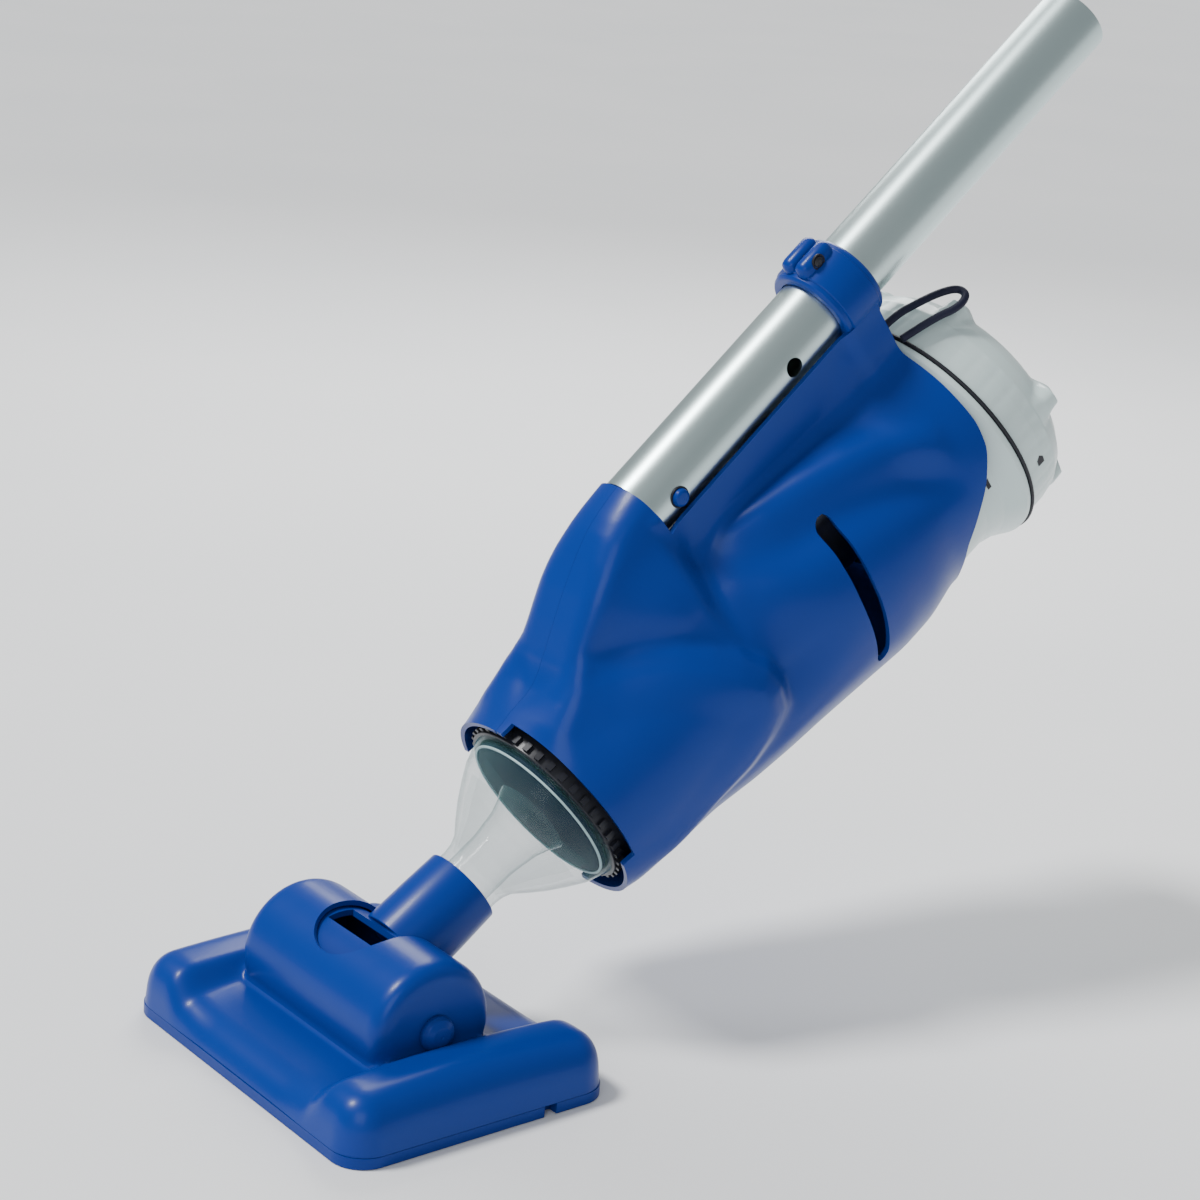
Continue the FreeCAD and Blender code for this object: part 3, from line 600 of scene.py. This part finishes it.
def cut_belly_slots(bm):
    def under(face, station, reach):
        c = face.calc_center_median()
        return c.y < -30 and abs(c.x - station) < reach

    for station in BELLY_SLOTS:
        for axis, value in ((0, station - BELLY_HALF), (0, station + BELLY_HALF),
                            (2, BELLY_SIDES[0]), (2, BELLY_SIDES[1])):
            cut_plane(bm, None, axis, value, [f for f in bm.faces if under(f, station, 9)])
        dead = [f for f in bm.faces if under(f, station, BELLY_HALF)
                and BELLY_SIDES[0] < f.calc_center_median().z < BELLY_SIDES[1]]
        bmesh.ops.delete(bm, geom=dead, context="FACES")


SADDLE_ARCH, SADDLE_EDGE = 6.8, -6.5     # where the saddle opens along the pole, and its side walls' top


def cut_saddle(bm):
    """Open the saddle's top for the pole, with a crisp arch in front of it."""
    along = Vector((math.cos(TILT), math.sin(TILT), 0))
    above = Vector((-math.sin(TILT), math.cos(TILT), 0))
    origin = Vector((*SADDLE_START, 0))

    def place(c):
        return (c - origin).dot(along), (c - origin).dot(above)

    def near(c):
        t, height = place(c)
        return -6 < t < 155 and height > -14 and c.z < 24

    cut_slanted(bm, origin + SADDLE_ARCH * along, along, near)
    cut_slanted(bm, origin + SADDLE_EDGE * above, above, near)
    dead = []
    for face in bm.faces:
        t, height = place(face.calc_center_median())
        if t > SADDLE_ARCH and height > SADDLE_EDGE:
            dead.append(face)
    bmesh.ops.delete(bm, geom=dead, context="FACES")


def cut_gill(bm):
    """Open the gill: its height is cut straight, and its sides in coordinates where they are straight."""
    def near(face):
        c = face.calc_center_median()
        return c.z > 20 and SLOT_LOW - 2 < c.y < SLOT_HIGH + 2 and abs(c.x - slot_centre(c.y)) < 14

    for value in (SLOT_LOW, SLOT_HIGH):
        cut_plane(bm, None, 1, value, [f for f in bm.faces if near(f)])
    chosen = [f for f in bm.faces if near(f) and SLOT_LOW < f.calc_center_median().y < SLOT_HIGH]
    verts = {v for f in chosen for v in f.verts}
    kept = {v: v.co.x for v in verts}
    for v in verts:
        v.co.x = (v.co.x - slot_centre(v.co.y)) / slot_half(min(max(v.co.y, SLOT_LOW + 0.3), SLOT_HIGH - 0.3))
    before = set(bm.verts)
    for value in (-1, 1):
        chosen = [f for f in bm.faces if all(v in verts or v not in before for v in f.verts)]
        cut_plane(bm, None, 0, value, chosen)
    fresh = [v for v in bm.verts if v not in before]
    dead = []
    for f in bm.faces:
        if all(v in verts or v not in before for v in f.verts):
            c = f.calc_center_median()
            if -1 < c.x < 1 and SLOT_LOW < c.y < SLOT_HIGH:
                dead.append(f)
    for v in list(kept) + fresh:
        half = slot_half(min(max(v.co.y, SLOT_LOW + 0.3), SLOT_HIGH - 0.3))
        v.co.x = kept[v] if v in kept else v.co.x * half + slot_centre(v.co.y)
    bmesh.ops.delete(bm, geom=dead, context="FACES")


for side_name, sign, notch in (("left", -1, (-15, 85)), ("right", 1, (-85, 15))):
    base, quads = as_arrays(half_body(notch))
    points = base * np.array([1, 1, sign])
    faces = quads if sign > 0 else [f[::-1] for f in quads]
    skin = make_mesh(f"shell_skin_{side_name}", to_row(NOSE, points), faces, BLUE, "body",
                     [f"body_shell_{side_name}"])
    crease(skin.data, 38)
    thicken(skin)


# ---------------------------------------------------------------- head

HEAD_MIDDLE, HEAD_HALF_LENGTH, HEAD_HALF_WIDTH, HEAD_CORNER = 4, 63, 82.5, 15
DECK_HEIGHT, LOBE_RISE = 19, 9.2         # the flat middle's height, and how far the end lobes rise over it
COWL_RADIUS, COWL_HALF = 28.2, 50.4
SKIRT_BOTTOM = 4.7                       # where the cover meets the sole
NECK_SLOT_HALF, NECK_SLOT_STRAIGHT, NECK_SLOT_END = 19.65, 92, 137     # mm, and degrees up from +X


def head_field(x, z, y):
    """Negative inside the head's cover: a deck with raised ends, joined to a half-round cowl."""
    side = np.abs(y)
    qx = np.abs(x - HEAD_MIDDLE) - (HEAD_HALF_LENGTH - HEAD_CORNER)
    qy = side - (HEAD_HALF_WIDTH - HEAD_CORNER)
    lean = (z - 4.5) * 0.10
    footprint = np.hypot(np.maximum(qx, 0), np.maximum(qy, 0)) + np.minimum(np.maximum(qx, qy), 0) - HEAD_CORNER + lean
    ends = rise(side, 45, 58)
    front_dip = 5.0 * rise(-x, 24, 58) * (1 - rise(side, 26, 62))
    back_dip = 3.0 * rise(x, 30, 62) * (1 - rise(side, 30, 62))
    crown = 1.0 - 0.25 * ((x - HEAD_MIDDLE) / 60) ** 2
    top = DECK_HEIGHT - front_dip - back_dip + ends * (LOBE_RISE * crown - 1.2 * ((side - 66) / 16) ** 2)
    deck = smax(footprint, (z - top) * 0.93, 13)
    cowl = smax(np.hypot(x, z - PIVOT_HEIGHT) - COWL_RADIUS, side - COWL_HALF, 8)
    return smin(deck, cowl, 3.5)


def cut_neck_slot(bm):
    """Open the cowl for the neck: straight at first, and closing in an ellipse over the top."""
    def reach(angle):
        if angle < NECK_SLOT_STRAIGHT:
            return NECK_SLOT_HALF
        t = min(1.0, (angle - NECK_SLOT_STRAIGHT) / (NECK_SLOT_END - NECK_SLOT_STRAIGHT))
        return max(0.05, NECK_SLOT_HALF * math.sqrt(1 - t * t))

    def angle_of(co):
        return math.degrees(math.atan2(co.y - PIVOT_HEIGHT, co.x))

    def on_cowl(face):
        c = face.calc_center_median()
        r = math.hypot(c.x, c.y - PIVOT_HEIGHT)
        return c.z < 24 and r < COWL_RADIUS + 1.3 and c.y > 19.4 and -24 < angle_of(c) < NECK_SLOT_END

    chosen = [f for f in bm.faces if on_cowl(f)]
    verts = {v for f in chosen for v in f.verts}
    kept = {v: v.co.z for v in verts}
    for v in verts:
        v.co.z /= reach(angle_of(v.co))
    before = set(bm.verts)
    cut_plane(bm, None, 2, 1.0, chosen)
    fresh = [v for v in bm.verts if v not in before]
    dead = [f for f in bm.faces
            if all(v in verts or v not in before for v in f.verts) and f.calc_center_median().z < 1]
    for v in list(kept) + fresh:
        v.co.z = kept[v] if v in kept else v.co.z * reach(angle_of(v.co))
    bmesh.ops.delete(bm, geom=dead, context="FACES")


def half_head():
    """The cover's skin on one side of its middle, as (x, z, y) points."""
    cell = 1.6
    points, faces = surface_nets(head_field, (-66, -2, -4), (74, 64, 88), cell)
    mesh = new_mesh("half_head", points.tolist(), faces.tolist())
    with edited(mesh) as bm:
        cut_plane(bm, True, 2, 0.0)
        cut_plane(bm, True, 1, SKIRT_BOTTOM)
        cut_neck_slot(bm)
    return mesh


base, quads = as_arrays(half_head())
both = np.concatenate([base, base * np.array([1, 1, -1])])
faces = quads + [[i + len(base) for i in f[::-1]] for f in quads]
top = make_mesh("head_cover", to_row(HEAD, both), faces, BLUE, "head", ["head_top_shell"])
with edited(top.data) as bm:
    bmesh.ops.remove_doubles(bm, verts=bm.verts, dist=2e-5)
crease(top.data, 38)
thicken(top)

barrel = lathe("neck_barrel", HEAD, [
    (22.7, -47.2), (25.2, -47.2), (25.2, -17), (25.2, 17), (25.2, 47.2), (22.7, 47.2), (22.7, 17), (22.7, -17),
], BLUE_DEEP, "neck", ["head_neck"], 0.8, 128, (0, PIVOT_HEIGHT), across=True)


def open_relief(mesh, low, high):
    """Open the barrel's wall behind the neck, between two angles up from +X."""
    with edited(mesh) as bm:
        dead = []
        for face in bm.faces:
            c = face.calc_center_median() / MM
            if abs(c.y) < 17 and low < math.degrees(math.atan2(c.z - PIVOT_HEIGHT, c.x)) < high:
                dead.append(face)
        bmesh.ops.delete(bm, geom=dead, context="FACES")
        bmesh.ops.bridge_loops(bm, edges=[e for e in bm.edges if e.is_boundary])
    crease(mesh, 40)


open_relief(barrel.data, 78, 108)
lathe("neck_tube", NOSE, [(15.1, 20), (18.3, 20), (17.9, 40), (17.3, 57.5), (15.1, 57.5)], BLUE, "neck",
      ["head_neck"], 0.5, 128)
DOME = ((0.01, 47), (6, 47), (6, 50.4), (7.6, 50.4), (7.6, 52.2), (6.6, 54), (4, 55.2), (0.01, 55.6))
for side_name, sign in (("left", -1), ("right", 1)):
    lathe(f"pivot_dome_{side_name}", HEAD, [(r, y * sign) for r, y in DOME], BLUE, "head",
          ["pivot_pins"], 0.9, 48, (0, PIVOT_HEIGHT), across=True)


# ---------------------------------------------------------------- clear nose

# (station, radius) of the bell's outside
CONE = [(62, 14.85), (66, 15.4), (70, 17), (75, 21.3), (81.5, 26.4), (88.6, 31.1), (96, 35.5), (104, 38.4)]
SOCKET, RIM = [(12.85, 40), (14.85, 40)], [(40.3, 108), (40.3, 112), (38.3, 112), (38.3, 108.6)]
bell = SOCKET + [(r, s) for s, r in CONE] + RIM
lathe("nose_bell", NOSE, bell, CLEAR, "nose", ["nose_cone"], 0.5, 128, closed=False)
lathe("nose_funnel", NOSE, [(11, 58), (11.2, 76), (13, 88), (15.2, 94), (17.6, 98.5)], CLEAR, "nose",
      ["nose_cone"], 0.3, 96, closed=False)
RIB = ((66, 11.3, 14.6), (76, 11.6, 20.5), (88, 13.6, 29.5), (98, 17.3, 35))     # (station, inner, outer radius)
ribs, rib_faces = [], []
for index in range(6):
    angle = math.radians(60 * index + 12)
    first = len(ribs)
    for station, low, high in RIB:
        for radius in (low, high):
            ribs.append((station, radius * math.cos(angle), radius * math.sin(angle)))
    rib_faces += [tuple(first + v for v in (k, k + 1, k + 3, k + 2)) for k in (0, 2, 4)]
make_mesh("nose_ribs", to_row(NOSE, ribs), rib_faces, CLEAR, "nose", ["nose_cone"])

TEETH = 40
lathe("collar_band", NOSE, [(36.6, 105.6), (40.6, 105.6), (40.6, 118), (36.6, 118)], PLASTIC, "nose",
      ["nose_gasket"], 0.5, 128)
teeth, tooth_faces = [], []
for index in range(TEETH):
    angle = math.radians(360 / TEETH * index)
    c, s = math.cos(angle), math.sin(angle)
    first = len(teeth)
    for station in (106.6, 110.4):
        for radius in (40.0, 42.2):
            for half_wall in (-1.3, 1.3):
                teeth.append((station, radius * c - half_wall * s, radius * s + half_wall * c))
    tooth_faces += [tuple(first + v for v in loop) for loop in BOX_FACES]
collar = make_mesh("collar_teeth", to_row(NOSE, teeth), tooth_faces, PLASTIC, "nose", ["nose_gasket"])
crease(collar.data, 30)
lathe("seat_dish", NOSE, [
    (0.01, 100.5), (18, 100.6), (33, 102.2), (36.1, 103.2), (36.1, 105.4), (33, 105.4), (0.01, 103.4),
], NAVY, "nose", ["valve_seat"], 0.8, 128)
# a pale ring on the seat's edge: a painted highlight where light catches the rim, not a printed line
lathe("seat_painted_highlight", NOSE, [(35.2, 102.2), (36.2, 102.2), (36.2, 103.0), (35.2, 103.0)], PAINTED_HIGHLIGHT, "nose",
      ["valve_seat"], 0.2, 128)


# ---------------------------------------------------------------- pole, collar and button

def on_pole(station, above=0):
    """The pole's frame, moved along and above its axis."""
    return POLE[0] + station * POLE[1] + above * POLE[2], POLE[1], POLE[2]


SCREW = on_pole(135, 22)
BUTTON = on_pole(BUTTON_STATION)
lathe("collar_ring", POLE, [(16.1, 124), (19.6, 124), (20.6, 125.2), (20.6, 146.6), (19.6, 148), (16.1, 148)], BLUE,
      "body", ["body_shell_left"], 0.8, 128)
lathe("collar_step", POLE, [(20.0, 126.6), (21.4, 127.4), (21.4, 144.6), (20.0, 145.4)], BLUE,
      "body", ["body_shell_left"], 0.7, 128)
for side_name, low, high in (("left", -8.0, -0.25), ("right", 0.25, 8.0)):
    block(f"collar_ear_{side_name}", POLE, (126, 14, low), (145, 25.5, high), BLUE, "body",
          [f"body_shell_{side_name}"], 3.4)
lathe("collar_screw", SCREW, [
    (0.01, -8.9), (1.2, -8.9), (2.4, -8.5), (2.6, -7.6), (1.5, -6.6), (1.5, 6), (0.01, 6),
], PLASTIC, "body", ["clamp_screw"], 0.3, 32, across=True)
lathe("collar_screw_ring", SCREW, [(2.7, -8.2), (3.4, -8.3), (3.4, -7.2), (2.7, -7.2)], BLACK, "body",
      ["clamp_screw"], 0.2, 32, across=True)
lathe("snap_pin", BUTTON, [
    (0.01, -18.7), (2.6, -18.5), (3.5, -17.9), (3.9, -16.8), (3.9, -8), (0.01, -8),
], BLUE, "button", ["snap_button"], 0.4, 48, across=True)
lathe("snap_ring", BUTTON, [(3.95, -16.1), (4.7, -16.1), (4.7, -14.6), (3.95, -14.6)], BLACK, "body",
      (), 0.1, 48, across=True)


# ---------------------------------------------------------------- motor housing and cap

lathe("housing_wall", REAR, [
    (30, -50), (49, -50), (49, -43.5), (53, -43.5), (53, -21), (55.6, -12), (59.4, -5.5), (61, -3), (61, 0), (56.5, 0),
    (54, -8), (50, -18), (50, -41), (30, -41),
], GREY, "body", ["rear_housing"], 1.2, 160)
lathe("flange_seal", REAR, [(57.4, 0.05), (61.4, 0.05), (61.8, 0.8), (61.4, 1.55), (57.4, 1.55)], BLACK, "body",
      ["cap_gasket"], 0.3, 160)
LUGS = [math.radians(60 * k + 39) for k in range(6)]
LUG_REACH = 59.6                         # the radius of the lugs' outer faces


def lugged(r, z, angle):
    """The cap's outline: faint grip grooves, and rounded lugs round the domed end."""
    if r > 58 and 3 < z < 19:
        return r - 0.22 * (0.5 + 0.5 * math.cos(40 * angle)) ** 3
    if z < 17 or r < 43:
        return r
    lift = 0.0
    for lug in LUGS:
        off = math.atan2(math.sin(angle - lug), math.cos(angle - lug))
        lift += math.exp(-(abs(off) / 0.10) ** 4)
    reach = float(rise(np.array(z), 19.0, 25.0)) * (1 - float(rise(np.array(z), 33.5, 37.0)))
    return r + lift * reach * max(0.0, LUG_REACH - r) * 0.95


lathe("cap_shell", REAR, [
    (9.4, 37.5), (30, 38.2, 4), (38, 37.4, 5), (44, 35.2, 4), (50, 31.4, 5), (55.4, 26, 5), (58.8, 19.5, 5),
    (59.8, 13, 3), (60, 3.6), (60, 2.1), (57.2, 2.1), (56, 18), (52, 25), (46, 31), (40, 33.8), (9.4, 34.8),
], GREY, "cap", ["end_cap"], 1.0, 320, bulge=lugged)


def arrow_mark(name, along, around, radius, body):
    """A small plain arrow printed on a turned wall, at a station and an angle."""
    outline = [(-1.9, -2.3), (1.9, -2.3), (1.9, 0.9), (0, 2.9), (-1.9, 0.9)]
    points = []
    for height in (0.0, 0.18):
        for u, v in outline:
            a = math.radians(around) + v / radius
            r = radius + height
            points.append((along + u, r * math.cos(a), r * math.sin(a)))
    faces = [(0, 1, 2, 3, 4), (9, 8, 7, 6, 5)] + [(k, (k + 1) % 5, 5 + (k + 1) % 5, 5 + k) for k in range(5)]
    mark = make_mesh(name, to_row(REAR, points), faces, BLACK, body, smooth=False)
    crease(mark.data, 30)


arrow_mark("arrow_cap", 10.5, 261.5, 59.8, "cap")
arrow_mark("arrow_housing", -15.0, 270.0, 54.6, "body")


# ---------------------------------------------------------------- CAD nodes that show as they are

for name, material in (
    ("pole_section", METAL), ("power_button", BLACK), ("head_sole", BLUE_DEEP), ("flap_valve", NAVY),
    ("flap_posts", PLASTIC), ("flap_pin", STEEL), ("filter_ring", PLASTIC), ("filter_bag", NAVY),
    ("shell_screws", STEEL), ("pole_spigot", BLUE_DEEP), ("button_spring", STEEL), ("shaft_seal", BLACK),
    ("motor", STEEL), ("motor_clamp", PLASTIC), ("motor_shaft", STEEL), ("impeller", PLASTIC),
    ("impeller_guard", PLASTIC), ("battery_cells", BLUE_DEEP), ("battery_tray", PLASTIC), ("contact_plate", PLASTIC),
):
    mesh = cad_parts[name].data
    mesh.materials.clear()
    mesh.materials.append(material)


# ---------------------------------------------------------------- tether loop

TETHER = (  # (station, height above the nose axis, y): from the shell's root round to the post
    (338.5, 69.0, -14.0), (351.0, 70.2, -14.6), (364.0, 67.4, -16.0), (375.5, 64.6, -18.0),
    (382.6, 62.4, -22.0), (381.6, 60.6, -27.6), (373.5, 60.4, -28.8), (363.5, 62.2, -24.8),
    (347.0, 62.4, -20.0),
)
CORD_LENGTH, CORD_DIAMETER = 0.0869, 0.0035     # metres
curve = bpy.data.curves.new("tether", "CURVE")
curve.dimensions = "3D"
curve.bevel_depth = CORD_DIAMETER / 2
curve.bevel_resolution = 6
curve.resolution_u = 16
curve.use_fill_caps = True
spline = curve.splines.new("NURBS")
spline.points.add(len(TETHER) - 1)
for point, at in zip(spline.points, to_row(NOSE, TETHER)):
    point.co = (*at, 1)
spline.order_u = 3
spline.use_endpoint_u = True
curve.materials.append(CORD)
tether = bpy.data.objects.new("tether_cord", curve)
bpy.context.scene.collection.objects.link(tether)
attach(tether, "body")
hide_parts("tether_loop")


# ---------------------------------------------------------------- stage, light and camera

def stage_plane():
    """A pale floor, just under the part."""
    bpy.ops.mesh.primitive_plane_add(size=14, location=(0, 0, -0.0004))
    floor = bpy.context.active_object
    floor.name = "floor"
    m = principled("floor_pale", (0.86, 0.87, 0.88), 0.7)
    feed(m, "Base Color", ramp(m, noise(m, 3, 2), [(0.3, (0.85, 0.86, 0.87)), (0.7, (0.88, 0.885, 0.89))]))
    floor.data.materials.append(m)


stage_plane()

world = bpy.data.worlds.new("studio")
bpy.context.scene.world = world
world.use_nodes = True
world.node_tree.nodes["Background"].inputs["Color"].default_value = (0.93, 0.97, 1.0, 1)
world.node_tree.nodes["Background"].inputs["Strength"].default_value = 0.38


def area(name, at, aim, size, power, color=(1, 1, 1)):
    """A soft rectangular light, turned towards a point."""
    data = bpy.data.lights.new(name, "AREA")
    data.shape = "RECTANGLE"
    data.size, data.size_y = size
    data.energy = power
    data.color = color
    light = bpy.data.objects.new(name, data)
    light.location = at
    light.rotation_euler = (Vector(aim) - Vector(at)).to_track_quat("-Z", "Y").to_euler()
    bpy.context.scene.collection.objects.link(light)


sun = bpy.data.lights.new("key", "SUN")
sun.energy = 3.3
sun.angle = math.radians(14)
key = bpy.data.objects.new("key", sun)
key.rotation_euler = Vector((0.62, -0.42, -1.15)).to_track_quat("-Z", "Y").to_euler()
bpy.context.scene.collection.objects.link(key)
area("side", (-1.1, -1.0, 0.9), (0.15, 0, 0.15), (0.9, 0.9), 7, (0.95, 0.97, 1))
area("back", (0.9, 0.9, 1.0), (0.2, 0, 0.2), (0.8, 0.8), 14)

IMAGE_WIDTH = 1200
data = bpy.data.cameras.new("camera")
data.sensor_width = 36
data.lens = 84.0425
data.shift_x = -10 / IMAGE_WIDTH
data.shift_y = -10 / IMAGE_WIDTH
data.clip_end = 60
camera = bpy.data.objects.new("camera", data)
turn = Matrix((
    (0.77884540, 0.13080731, -0.61342423),
    (-0.62232525, 0.28305882, -0.72978695),
    (0.07817367, 0.95014060, 0.30186375),
))
camera.matrix_world = Matrix.Translation((-0.59684, -0.84427, 0.53184)) @ turn.to_4x4()
bpy.context.scene.collection.objects.link(camera)
bpy.context.scene.camera = camera
